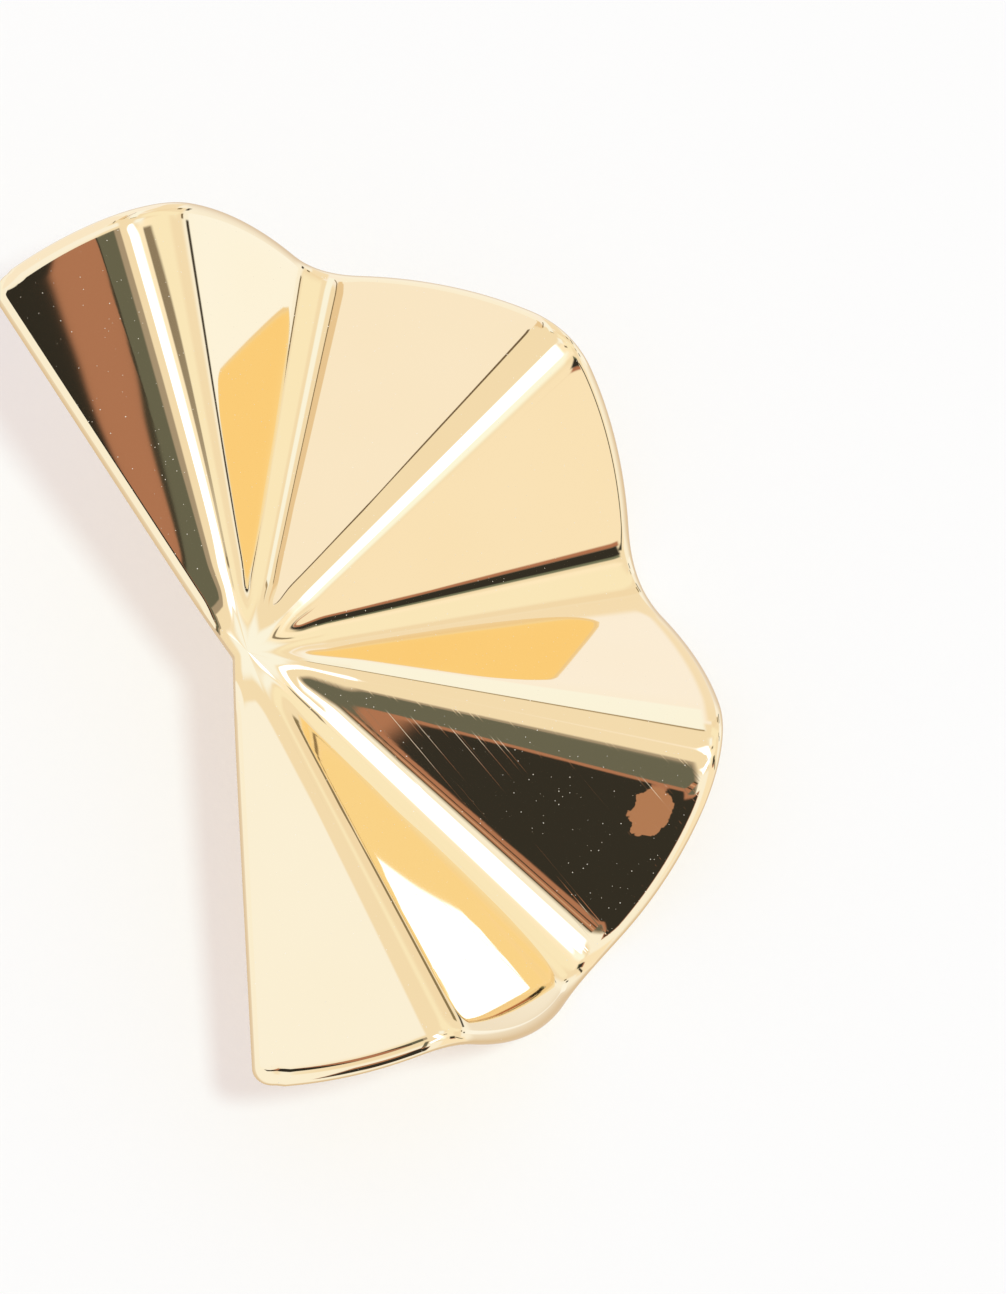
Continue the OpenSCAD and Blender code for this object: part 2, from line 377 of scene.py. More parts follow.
@dataclass
class SheetRows:
    """The closed rows of points that the sheet's skin is drawn through, from pole to pole."""

    sheet: FanSheet
    edge: list[tuple[Vector, float]] = field(init=False)
    outward: list[Vector] = field(init=False)

    def __post_init__(self) -> None:
        """Works out the outline and the direction out of the metal at each of its points."""
        self.edge = self.sheet.outline()
        count = len(self.edge)
        chords = [self.edge[(i + 1) % count][0] - self.edge[i - 1][0] for i in range(count)]
        self.outward = [-left_of(chord.normalized()) for chord in chords]

    def inset(self, depth: float | None = None, share: float = 1.0) -> list[Vector]:
        """The outline moved into the metal.

        Args:
            depth: How far, in millimetres, or none for a share of each point's own edge width.
            share: The share of that depth or width.

        Returns:
            A plan point for each outline point.
        """
        return [
            point - out * share * (lip if depth is None else depth)
            for (point, lip), out in zip(self.edge, self.outward)
        ]

    def front_rows(self) -> list[list[Vector]]:
        """Rows of the front, from near the pivot to where the rounded edge starts."""
        sheet = self.sheet
        border = self.inset()
        shares = [(j / sheet.inner_rows) ** sheet.row_growth for j in range(1, sheet.inner_rows + 1)]
        return [[self.lifted(p * share, sheet.front_height(p * share)) for p in border] for share in shares]

    def lip_rows(self) -> list[list[Vector]]:
        """Rows of the front's rounded edge, a quarter of an ellipse."""
        sheet = self.sheet
        rows = []
        for k in range(1, sheet.lip_rows + 1):
            turn = math.pi / 2 * k / sheet.lip_rows
            row = []
            for plan, (_, lip) in zip(self.inset(share=1 - math.sin(turn)), self.edge):
                fall = sheet.lip_fall_share * min(lip, sheet.sheet_wall - sheet.back_round)
                row.append(self.lifted(plan, sheet.front_height(plan) - fall * (1 - math.cos(turn))))
            rows.append(row)
        return rows

    def back_lip_rows(self) -> list[list[Vector]]:
        """Rows of the back's edge, a quarter of a circle."""
        sheet = self.sheet
        rows = []
        for k in range(sheet.back_lip_rows + 1):
            turn = math.pi / 2 * k / sheet.back_lip_rows
            plans = self.inset(sheet.back_round, 1 - math.cos(turn))
            rise = sheet.back_round * (1 - math.sin(turn))
            rows.append([self.lifted(p, sheet.back_height(p) + rise) for p in plans])
        return rows

    def back_rows(self) -> list[list[Vector]]:
        """Rows of the back, from its edge to near the pivot."""
        sheet = self.sheet
        border = self.inset(sheet.back_round)
        shares = [(j / sheet.back_rows) ** sheet.row_growth for j in range(sheet.back_rows - 1, 0, -1)]
        return [[self.lifted(p * share, sheet.back_height(p * share)) for p in border] for share in shares]

    @staticmethod
    def lifted(plan: Vector, height: float) -> Vector:
        """A plan point with its height."""
        return Vector((plan.x, plan.y, height))

    def rows(self) -> list[list[Vector]]:
        """All rows in order, from the front's middle over the edge to the back's middle."""
        return self.front_rows() + self.lip_rows() + self.back_lip_rows() + self.back_rows()


@dataclass
class EarPost:
    """The straight post behind the fan, with the boss that it stands on, in the sheet's frame.

    All lengths are in millimetres.

    Attributes:
        sheet: The sheet that it is fixed to.
        post_diameter: Diameter of the pin.
        post_length: Length of the pin, from its foot to its tip.
        post_ahead: Distance of the pin from the pivot.
        foot_diameter: Diameter of the foot.
        foot_wall: Thickness of the foot.
        boss_height: Height of the boss over the ridge that it stands on.
        seat_gap: Gap between the foot and the boss.
        boss_margin: Rim of the boss that stays clear around the foot.
        boss_cover_share: Share of the metal that stays over the top of the boss.
        edge_round: Radius of the edges of the foot and the boss.
        root_round: Radius of the hollow between pin and foot.
        arc_steps: Steps of a profile's arc.
        dome_steps: Steps of the round tip.
        spin_steps: Steps of a whole turn.
    """

    sheet: FanSheet
    post_diameter: float = 0.85
    post_length: float = 9.4
    post_ahead: float = 6.6
    foot_diameter: float = 1.7
    foot_wall: float = 0.4
    boss_height: float = 0.3
    seat_gap: float = 0.04
    boss_margin: float = 0.05
    boss_cover_share: float = 0.2
    edge_round: float = 0.08
    root_round: float = 0.16
    arc_steps: int = 6
    dome_steps: int = 10
    spin_steps: int = 48

    @property
    def boss_base(self) -> float:
        """Height of the boss's flat end."""
        return self.sheet.back_height(Vector((self.post_ahead, 0))) - self.boss_height

    @property
    def foot_height(self) -> float:
        """Height of the foot's end that the pin leaves from."""
        return self.boss_base - self.seat_gap - self.foot_wall

    @property
    def pin_middle(self) -> Vector:
        """Middle of the pin's straight part, where the mount is."""
        straight = self.post_length - self.post_diameter / 2
        return Vector((self.post_ahead, 0, self.foot_height - straight / 2))

    def arc(
        self, centre: tuple[float, float], radius: float, start: float, end: float
    ) -> list[tuple[float, float]]:
        """Points of an arc of a profile.

        Args:
            centre: Distance from the axis and height of the arc's centre.
            radius: Radius of the arc.
            start: Angle that it starts at.
            end: Angle that it ends at.

        Returns:
            Points as distance from the axis and height.
        """
        turns = [start + (end - start) * k / self.arc_steps for k in range(self.arc_steps + 1)]
        offsets = [polar(radius, turn) for turn in turns]
        return [(centre[0] + o.x, centre[1] + o.y) for o in offsets]

    def boss_profile(self) -> list[tuple[float, float]]:
        """Profile of the boss, from its middle inside the metal to the middle of its flat end."""
        radius = self.foot_diameter / 2 + self.boss_margin
        ahead = Vector((self.post_ahead, 0))
        top = self.sheet.front_height(ahead) - self.boss_cover_share * self.sheet.sheet_wall
        corner = (radius - self.edge_round, self.boss_base + self.edge_round)
        return [(0.0, top), (radius, top), *self.arc(corner, self.edge_round, 0, -90), (0.0, self.boss_base)]

    def post_profile(self) -> list[tuple[float, float]]:
        """Profile of the post, from the middle of its foot to the middle of its round tip."""
        radius, foot = self.post_diameter / 2, self.foot_diameter / 2
        top, bottom = self.foot_height + self.foot_wall, self.foot_height
        inner = foot - self.edge_round
        tip = self.foot_height - self.post_length + radius
        turns = [90 * k / self.dome_steps for k in range(self.dome_steps)]
        dome = [polar(radius, -turn) for turn in turns]
        return [
            (0.0, top),
            *self.arc((inner, top - self.edge_round), self.edge_round, 90, 0),
            *self.arc((inner, bottom + self.edge_round), self.edge_round, 0, -90),
            *self.arc((radius + self.root_round, bottom - self.root_round), self.root_round, 90, 180),
            *[(o.x, tip + o.y) for o in dome],
            (0.0, tip - radius),
        ]


@dataclass
class Placing:
    """How the sheet's frame lies in the part's frame, taken from the post's mount.

    Attributes:
        mount: The mount at the middle of the pin, whose axis points to the tip.
        lay_turn: Turn of the lying stud about the upright axis.
    """

    mount: dict
    lay_turn: float = 23.4

    def matrix(self, post: EarPost) -> Matrix:
        """The matrix from the sheet's millimetres to the part's metres.

        Args:
            post: The post, whose pin's middle is where the mount is.

        Returns:
            The matrix.
        """
        up = -Vector(self.mount["axis"]).normalized()
        level = Vector((up.z, 0, -up.x)).normalized()
        turn = math.radians(self.lay_turn)
        ahead = level * math.cos(turn) + up.cross(level) * math.sin(turn)
        across = up.cross(ahead)
        turned = Matrix((ahead, across, up)).transposed().to_4x4() @ Matrix.Scale(MM, 4)
        offset = Vector(self.mount["pos_m"]) - turned @ post.pin_middle
        return Matrix.Translation(offset) @ turned


class SkinMaker:
    """Builds pieces in the part's frame from the sheet's rows and from lathe profiles.

    Attributes:
        WELD: Distance within which points become one, in millimetres.
    """

    WELD = 1e-6

    def __init__(self, place: Matrix) -> None:
        """Keeps the matrix from the sheet's frame to the part's frame."""
        self.place = place

    def closed_skin(self, rows: list[list[Vector]], front: Vector, back: Vector) -> bmesh.types.BMesh:
        """A closed skin through rows of points: a grid whose ends become poles and whose sides meet.

        Args:
            rows: The rows, each a closed loop with as many points as the first.
            front: The pole inside the first row.
            back: The pole inside the last row.

        Returns:
            The mesh, in millimetres of the sheet's frame.
        """
        count = len(rows[0])
        levels = [[front] * count, *rows, [back] * count]
        skin = bmesh.new()
        bmesh.ops.create_grid(skin, x_segments=count, y_segments=len(levels) - 1, size=1.0)
        for vertex in skin.verts:
            column = round((vertex.co.x + 1) / 2 * count) % count
            level = round((vertex.co.y + 1) / 2 * (len(levels) - 1))
            vertex.co = levels[level][column]
        bmesh.ops.remove_doubles(skin, verts=skin.verts, dist=self.WELD)
        bmesh.ops.recalc_face_normals(skin, faces=skin.faces)
        return skin

    def lathe(self, profile: list[tuple[float, float]], ahead: float, steps: int) -> bmesh.types.BMesh:
        """A body turned about an axis that is square to the plane of the fan.

        Args:
            profile: Points from axis to axis, as distance from the axis and height.
            ahead: Distance of the axis from the pivot, along the middle valley.
            steps: How many steps the turn has.

        Returns:
            The mesh, in millimetres of the sheet's frame.
        """
        turns = spread(0.0, 360.0, steps)
        rings = [
            [Vector((ahead + spot.x, spot.y, height)) for spot in (polar(out, turn) for turn in turns)]
            for out, height in profile[1:-1]
        ]
        poles = (Vector((ahead, 0, profile[end][1])) for end in (0, -1))
        return self.closed_skin(rings, *poles)

    def piece(self, name: str, parts: list[bmesh.types.BMesh]) -> bpy.types.Object:
        """One object of several meshes, placed in the part's frame.

        Args:
            name: The piece's name.
            parts: The meshes, which are freed.

        Returns:
            The object, linked to the scene.
        """
        data = bpy.data.meshes.new(name)
        whole = bmesh.new()
        for part in parts:
            part.to_mesh(data)
            whole.from_mesh(data)
            part.free()
        whole.transform(self.place)
        for face in whole.faces:
            face.smooth = True
        whole.to_mesh(data)
        whole.free()
        made = bpy.data.objects.new(name, data)
        bpy.context.scene.collection.objects.link(made)
        return made


class NodeKit:
    """Short ways to add nodes to a tree."""

    def __init__(self, tree: bpy.types.NodeTree) -> None:
        """Keeps the tree."""
        self.tree = tree

    def add(self, kind: str, **settings: object) -> bpy.types.Node:
        """A new node with its settings."""
        made = self.tree.nodes.new(kind)
        for name, value in settings.items():
            setattr(made, name, value)
        return made

    def feed(self, socket: bpy.types.NodeSocket, value: Value) -> None:
        """Links a socket, or sets its value."""
        if isinstance(value, bpy.types.NodeSocket):
            self.tree.links.new(value, socket)
        else:
            socket.default_value = value

    def math(self, operation: str, a: Value, b: Value = 0.0, c: Value = 0.0) -> bpy.types.NodeSocket:
        """The result of a math node.

        Args:
            operation: The node's operation.
            a: First value.
            b: Second value.
            c: Third value.

        Returns:
            The output socket.
        """
        made = self.add("ShaderNodeMath", operation=operation)
        for socket, value in zip(made.inputs, (a, b, c)):
            self.feed(socket, value)
        return made.outputs[0]

    def plus(self, a: Value, b: Value) -> bpy.types.NodeSocket:
        """The sum of two numbers."""
        return self.math("ADD", a, b)

    def minus(self, a: Value, b: Value) -> bpy.types.NodeSocket:
        """The difference of two numbers."""
        return self.math("SUBTRACT", a, b)

    def times(self, a: Value, b: Value) -> bpy.types.NodeSocket:
        """The product of two numbers."""
        return self.math("MULTIPLY", a, b)

    def distance(self, x: Value, y: Value) -> bpy.types.NodeSocket:
        """The length of the line over two sides at a right angle."""
        return self.math("SQRT", self.plus(self.times(x, x), self.times(y, y)))

    def vector(self, operation: str, a: Value | Vector, b: Value | Vector = 0.0) -> bpy.types.NodeSocket:
        """The result of a vector math node on two vectors.

        Args:
            operation: The node's operation.
            a: First vector.
            b: Second vector, or left out.

        Returns:
            The output socket.
        """
        made = self.add("ShaderNodeVectorMath", operation=operation)
        for socket, value in zip(made.inputs, (a, b)):
            self.feed(socket, (value, value, value) if isinstance(value, float) else value)
        return made.outputs["Value" if operation in ("DOT_PRODUCT", "LENGTH") else "Vector"]

    def dot(self, a: bpy.types.NodeSocket, b: Vector) -> bpy.types.NodeSocket:
        """The dot product of a linked vector and a fixed one."""
        return self.vector("DOT_PRODUCT", a, b)

    def scaled(self, a: Value | Vector, factor: Value) -> bpy.types.NodeSocket:
        """A vector times a number."""
        made = self.add("ShaderNodeVectorMath", operation="SCALE")
        self.feed(made.inputs["Vector"], a)
        self.feed(made.inputs["Scale"], factor)
        return made.outputs["Vector"]

    def pick(self, vector: bpy.types.NodeSocket, index: int) -> bpy.types.NodeSocket:
        """One of the three numbers of a vector or colour."""
        made = self.add("ShaderNodeSeparateXYZ")
        self.feed(made.inputs[0], vector)
        return made.outputs[index]

    def noise(self, spot: bpy.types.NodeSocket, scale: float, detail: float) -> bpy.types.Node:
        """A noise node.

        Args:
            spot: Where the noise is read.
            scale: Features to a unit of length.
            detail: How many finer layers it has.

        Returns:
            The node.
        """
        made = self.add("ShaderNodeTexNoise")
        for name, value in (("Vector", spot), ("Scale", scale), ("Detail", detail)):
            self.feed(made.inputs[name], value)
        return made

    def step(self, value: Value, start: float, end: float, smooth: bool = True) -> bpy.types.NodeSocket:
        """A step from 0 at start to 1 at end.

        Args:
            value: What is compared.
            start: Where the step starts.
            end: Where it ends, which may be below start.
            smooth: Whether the step is eased.

        Returns:
            The output socket.
        """
        made = self.add("ShaderNodeMapRange", interpolation_type="SMOOTHSTEP" if smooth else "LINEAR")
        low, high = min(start, end), max(start, end)
        self.feed(made.inputs["Value"], value)
        made.inputs["From Min"].default_value = low
        made.inputs["From Max"].default_value = high
        made.inputs["To Min"].default_value = 0.0 if start < end else 1.0
        made.inputs["To Max"].default_value = 1.0 if start < end else 0.0
        return made.outputs["Result"]

    def mix(self, share: Value, a: Value | Colour, b: Value | Colour) -> bpy.types.NodeSocket:
        """A mix of two colours.

        Args:
            share: How much of the second colour there is.
            a: First colour.
            b: Second colour.

        Returns:
            The output socket.
        """
        made = self.add("ShaderNodeMix", data_type="RGBA")
        self.feed(made.inputs["Factor"], share)
        for name, value in (("A", a), ("B", b)):
            socket = next(i for i in made.inputs if i.name == name and i.type == "RGBA")
            self.feed(socket, (*value, 1.0) if isinstance(value, tuple) else value)
        return next(o for o in made.outputs if o.type == "RGBA")


@dataclass(frozen=True)
class Bow:
    """A slow bow of one facet, told by how far the polished surface leans from the flat facet.

    Attributes:
        start: Angle about the pivot where the bow starts.
        end: Angle where it ends.
        still: Angle at which the surface doesn't lean.
        still_radius: Distance from the pivot at which it doesn't lean, in millimetres.
        by_angle: Lean in degrees for each degree of angle.
        by_radius: Lean in degrees for each millimetre of distance.
    """

    start: float
    end: float
    still: float
    still_radius: float
    by_angle: float
    by_radius: float


@dataclass(frozen=True)
class Dent:
    """A shallow round dent of the sheet.

    Attributes:
        turn: Its angle about the pivot.
        radius: Its distance from the pivot, in millimetres.
        size: Its radius, in millimetres.
        lean: How far its floor leans from the facet, in degrees.
        edge: How far past its radius the dent ends and its floor starts, in millimetres.
        wave: How far its edge wavers, in millimetres.
        wave_scale: Wavers to a metre.
        wave_detail: Finer layers of the wavers.
    """

    turn: float = -36.9
    radius: float = 22.9
    size: float = 1.1
    lean: float = 5.0
    edge: tuple[float, float] = (0.55, 0.15)
    wave: float = 0.7
    wave_scale: float = 1500.0
    wave_detail: float = 3.0

    def floor(self, kit: NodeKit, spot: bpy.types.NodeSocket, x: Value, y: Value) -> bpy.types.NodeSocket:
        """Where the dent's floor is.

        Args:
            kit: The material's nodes.
            spot: The object's coordinates.
            x: Distance ahead of the pivot, in millimetres.
            y: Distance across, in millimetres.

        Returns:
            The share, 1 on the floor.
        """
        centre = polar(self.radius, self.turn)
        away = kit.distance(kit.minus(x, centre.x), kit.minus(y, centre.y))
        waver = kit.noise(spot, self.wave_scale, self.wave_detail).outputs["Fac"]
        return kit.step(kit.math("MULTIPLY_ADD", waver, self.wave, away), *[self.size + e for e in self.edge])


@dataclass(frozen=True)
class Gold:
    """Polished gold plating, with the slow bows of the pressed facets and a little dust.

    Attributes:
        tint: Colour of the metal.
        hollow_tint: Colour that it has here and there, where the plating is thicker.
        roughness: Roughness of the polish.
        ripple: Lean of the surface's slow ripple.
        ripple_scale: Ripples to a metre.
        grain_scale: Grains of the polish to a metre.
        grain_share: Roughness that the grain adds, and that is there without it, as shares.
        scratch: Lean of the hairline scratches.
        scratch_turn: Direction that they run in, in degrees.
        scratch_size: Length and width of the noise that they come from, in metres.
        scratch_share: Values of that noise between which a scratch starts.
        scratched: Middle angle and half width of the facet that has them, in degrees.
        dust: Share of the grid of possible specks that hold one.
        dust_tint: Colour of a speck.
        dust_scale: Possible specks to a metre.
        dust_size: Spread and least size of the specks, as shares of the grid's step.
        dust_edge: Shares of a speck's size where it ends and where it is whole.
        dust_cover: How much of the metal a speck hides.
        dust_rough: Roughness that a speck adds.
        rim_droop: Lean of the surface where the rim's rounded edge starts, in degrees.
        droop_reach: Distances from the rim, in millimetres, between which it starts to lean.
        bows: Slow bows of the facets.
        bow_edge: Half the angle in which a bow sets in, in degrees.
        dent: The dent near the rim.
        hub_reach: Distances from the pivot where the folds start to fade and are faintest, in
            millimetres, and the share of them that is then gone.
    """

    tint: Colour = (0.97, 0.80, 0.50)
    hollow_tint: Colour = (0.965, 0.785, 0.475)
    roughness: float = 0.035
    ripple: float = 0.006
    ripple_scale: float = 170.0
    grain_scale: float = 9000.0
    grain_share: tuple[float, float] = (0.3, 0.85)
    scratch: float = 0.055
    scratch_turn: float = -41.0
    scratch_size: tuple[float, float] = (1 / 70, 1 / 21000)
    scratch_share: tuple[float, float] = (0.725, 0.79)
    scratched: tuple[float, float] = (-41.0, 12.0)
    dust: float = 0.22
    dust_tint: Colour = (0.85, 0.82, 0.74)
    dust_scale: float = 5200.0
    dust_size: tuple[float, float] = (0.12, 0.05)
    dust_edge: tuple[float, float] = (1.1, 0.7)
    dust_cover: float = 0.8
    dust_rough: float = 0.6
    rim_droop: float = 7.0
    droop_reach: tuple[float, float] = (1.8, 0.4)
    bows: tuple[Bow, ...] = (
        Bow(87.0, 120.0, 89.8, 21.0, 0.24, 0.08),
        Bow(85.2, 89.8, 86.0, 10.5, 0.0, -0.6),
        Bow(-52.0, -30.0, -41.0, 13.0, 0.0, -0.25),
        Bow(-90.0, -58.0, -77.0, 14.5, -0.25, 0.45),
    )
    bow_edge: float = 1.5
    dent: Dent = Dent()
    hub_reach: tuple[float, float, float] = (3.7, 1.0, 0.85)

    def material(self, name: str, place: Matrix, sheet: FanSheet) -> bpy.types.Material:
        """Builds the node material.

        Args:
            name: The material's name.
            place: The matrix from the sheet's frame to the part's frame.
            sheet: The sheet, whose rim's place is needed.

        Returns:
            The material.
        """
        made = bpy.data.materials.new(name)
        made.use_nodes = True
        kit = NodeKit(made.node_tree)
        shader = made.node_tree.nodes["Principled BSDF"]
        spot = kit.add("ShaderNodeTexCoord").outputs["Object"]
        cloud = kit.noise(spot, self.ripple_scale, detail=1.0)
        speck = self.speck(kit, spot)
        tint = kit.mix(cloud.outputs["Fac"], self.tint, self.hollow_tint)
        kit.feed(shader.inputs["Base Color"], kit.mix(speck, tint, self.dust_tint))
        kit.feed(shader.inputs["Metallic"], kit.minus(1.0, speck))
        grain = kit.noise(spot, self.grain_scale, detail=2.0).outputs["Fac"]
        rough = kit.math("MULTIPLY_ADD", grain, *[self.roughness * share for share in self.grain_share])
        kit.feed(shader.inputs["Roughness"], kit.math("MULTIPLY_ADD", speck, self.dust_rough, rough))
        kit.feed(shader.inputs["Normal"], self.lean(kit, spot, cloud.outputs["Color"], place, sheet))
        return made

    def speck(self, kit: NodeKit, spot: bpy.types.NodeSocket) -> bpy.types.NodeSocket:
        """How much of the surface is hidden by a speck of dust.

        Args:
            kit: The material's nodes.
            spot: The object's coordinates.

        Returns:
            The share.
        """
        cells = kit.add("ShaderNodeTexVoronoi", feature="F1")
        kit.feed(cells.inputs["Vector"], spot)
        kit.feed(cells.inputs["Scale"], self.dust_scale)
        bare = 1 - self.dust
        chosen = kit.step(kit.pick(cells.outputs["Color"], 0), bare, bare + 0.01)
        size = kit.math("MULTIPLY_ADD", kit.pick(cells.outputs["Color"], 1), *self.dust_size)
        near = kit.step(kit.math("DIVIDE", cells.outputs["Distance"], size), *self.dust_edge)
        return kit.times(chosen, kit.times(near, self.dust_cover))

    def bowed(self, kit: NodeKit, angle: Value, radius: Value) -> Value:
        """How far the bows lean the surface sideways.

        Args:
            kit: The material's nodes.
            angle: Angle about the pivot, in degrees.
            radius: Distance from the pivot, in millimetres.

        Returns:
            The lean, in radians.
        """
        lean: Value = 0.0
        for bow in self.bows:
            by_angle = kit.times(kit.minus(angle, bow.still), bow.by_angle)
            by_radius = kit.times(kit.minus(radius, bow.still_radius), bow.by_radius)
            inside = kit.math("MINIMUM", kit.minus(angle, bow.start), kit.minus(bow.end, angle))
            here = kit.times(kit.step(inside, -self.bow_edge, self.bow_edge), kit.plus(by_angle, by_radius))
            lean = kit.plus(lean, kit.math("RADIANS", here))
        return lean

    def hairlines(self, kit: NodeKit, from_pivot: bpy.types.NodeSocket, angle: Value) -> Value:
        """How far the fine scratches lean the surface.

        Args:
            kit: The material's nodes.
            from_pivot: The coordinates, counted from the pivot.
            angle: Angle about the pivot, in degrees.

        Returns:
            The lean.
        """
        streaks = kit.add("ShaderNodeMapping", vector_type="TEXTURE")
        kit.feed(streaks.inputs["Vector"], kit.vector("MULTIPLY", from_pivot, Vector((1, 1, 0))))
        streaks.inputs["Rotation"].default_value = (0.0, 0.0, math.radians(self.scratch_turn))
        streaks.inputs["Scale"].default_value = (*self.scratch_size, 1.0)
        hair = kit.step(kit.noise(streaks.outputs[0], 1.0, 0.0).outputs["Fac"], *self.scratch_share)
        middle, reach = self.scratched
        inside = kit.minus(reach, kit.math("ABSOLUTE", kit.minus(angle, middle)))
        return kit.times(kit.times(hair, self.scratch), kit.step(inside, 0.0, 1.0))

    def softened(self, kit: NodeKit, above: Vector, radius: Value) -> bpy.types.NodeSocket:
        """The mesh's direction, turned towards the upright of the sheet where the folds fade out.

        Args:
            kit: The material's nodes.
            above: The upright of the sheet.
            radius: Distance from the pivot, in millimetres.

        Returns:
            The direction.
        """
        plain = kit.add("ShaderNodeNewGeometry").outputs["Normal"]
        start, faint, share = self.hub_reach
        flat = kit.times(kit.step(radius, start, faint), share)
        facing = kit.math("SIGN", kit.dot(plain, above))
        upright = kit.scaled(above, kit.times(facing, flat))
        return kit.vector("ADD", kit.scaled(plain, kit.minus(1.0, flat)), upright)

    def lean(
        self, kit: NodeKit, spot: bpy.types.NodeSocket, cloud: bpy.types.NodeSocket, place: Matrix,
        sheet: FanSheet,
    ) -> bpy.types.NodeSocket:
        """The surface's direction with its bows, dent, ripple, scratches and the droop at its rim.

        Args:
            kit: The material's nodes.
            spot: The object's coordinates.
            cloud: Slow noise of three numbers.
            place: The matrix from the sheet's frame to the part's frame.
            sheet: The sheet.

        Returns:
            The unit direction.
        """
        ahead, across, above = (axis.normalized() for axis in place.to_3x3().transposed())
        from_pivot = kit.vector("SUBTRACT", spot, place.translation)
        x, y = (kit.math("DIVIDE", kit.dot(from_pivot, axis), MM) for axis in (ahead, across))
        turn = kit.math("ARCTAN2", y, x)
        angle, radius = kit.math("DEGREES", turn), kit.distance(x, y)
        cos, sin = kit.math("COSINE", turn), kit.math("SINE", turn)
        sideways = kit.vector("SUBTRACT", kit.scaled(across, cos), kit.scaled(ahead, sin))
        outward = kit.vector("ADD", kit.scaled(ahead, cos), kit.scaled(across, sin))
        to_rim = kit.minus(
            kit.math("MULTIPLY_ADD", cos, sheet.rim_ahead, sheet.fan_radius),
            kit.math("DIVIDE", kit.vector("LENGTH", from_pivot), MM),
        )
        near = kit.step(to_rim, *self.droop_reach, smooth=False)
        droop = kit.times(kit.times(near, near), math.radians(self.rim_droop))
        dented = kit.times(self.dent.floor(kit, spot, x, y), math.radians(self.dent.lean))
        ripple = kit.scaled(kit.vector("SUBTRACT", cloud, Vector((0.5, 0.5, 0.5))), self.ripple)
        leans = (
            ripple,
            kit.scaled(across, self.hairlines(kit, from_pivot, angle)),
            kit.scaled(sideways, self.bowed(kit, angle, radius)),
            kit.scaled(outward, kit.minus(droop, dented)),
        )
        whole = self.softened(kit, above, radius)
        for part in leans:
            whole = kit.vector("ADD", whole, part)
        return kit.vector("NORMALIZE", whole)


@dataclass(frozen=True)
class Card:
    """A card or light of the studio, placed by the angles at which it is seen around the lens.

    Attributes:
        place: Angle to the right of the lens and above it, in degrees.
        half: Half its width and height, in degrees.
        light: Its radiance.
        soft: Half the width of its edge, in degrees.
        turn: Its turn, in degrees.
        deep: Whether it shows only in the deep gold, which is metal mirrored in metal.
    """

    place: tuple[float, float]
    half: tuple[float, float]
    light: Colour
    soft: float = 2.0
    turn: float = 0.0
    deep: bool = False


LAMP = (1.8, 2.2, 3.6)
CREAM = (0.985, 1.0, 1.12)
BEIGE = (0.99, 1.0, 0.98)
YELLOW = (1.03, 0.94, 0.70)
GREY = (0.40, 0.36, 0.34)
COPPER = (0.44, 0.22, 0.165)
SOOT = (0.035, 0.035, 0.035)


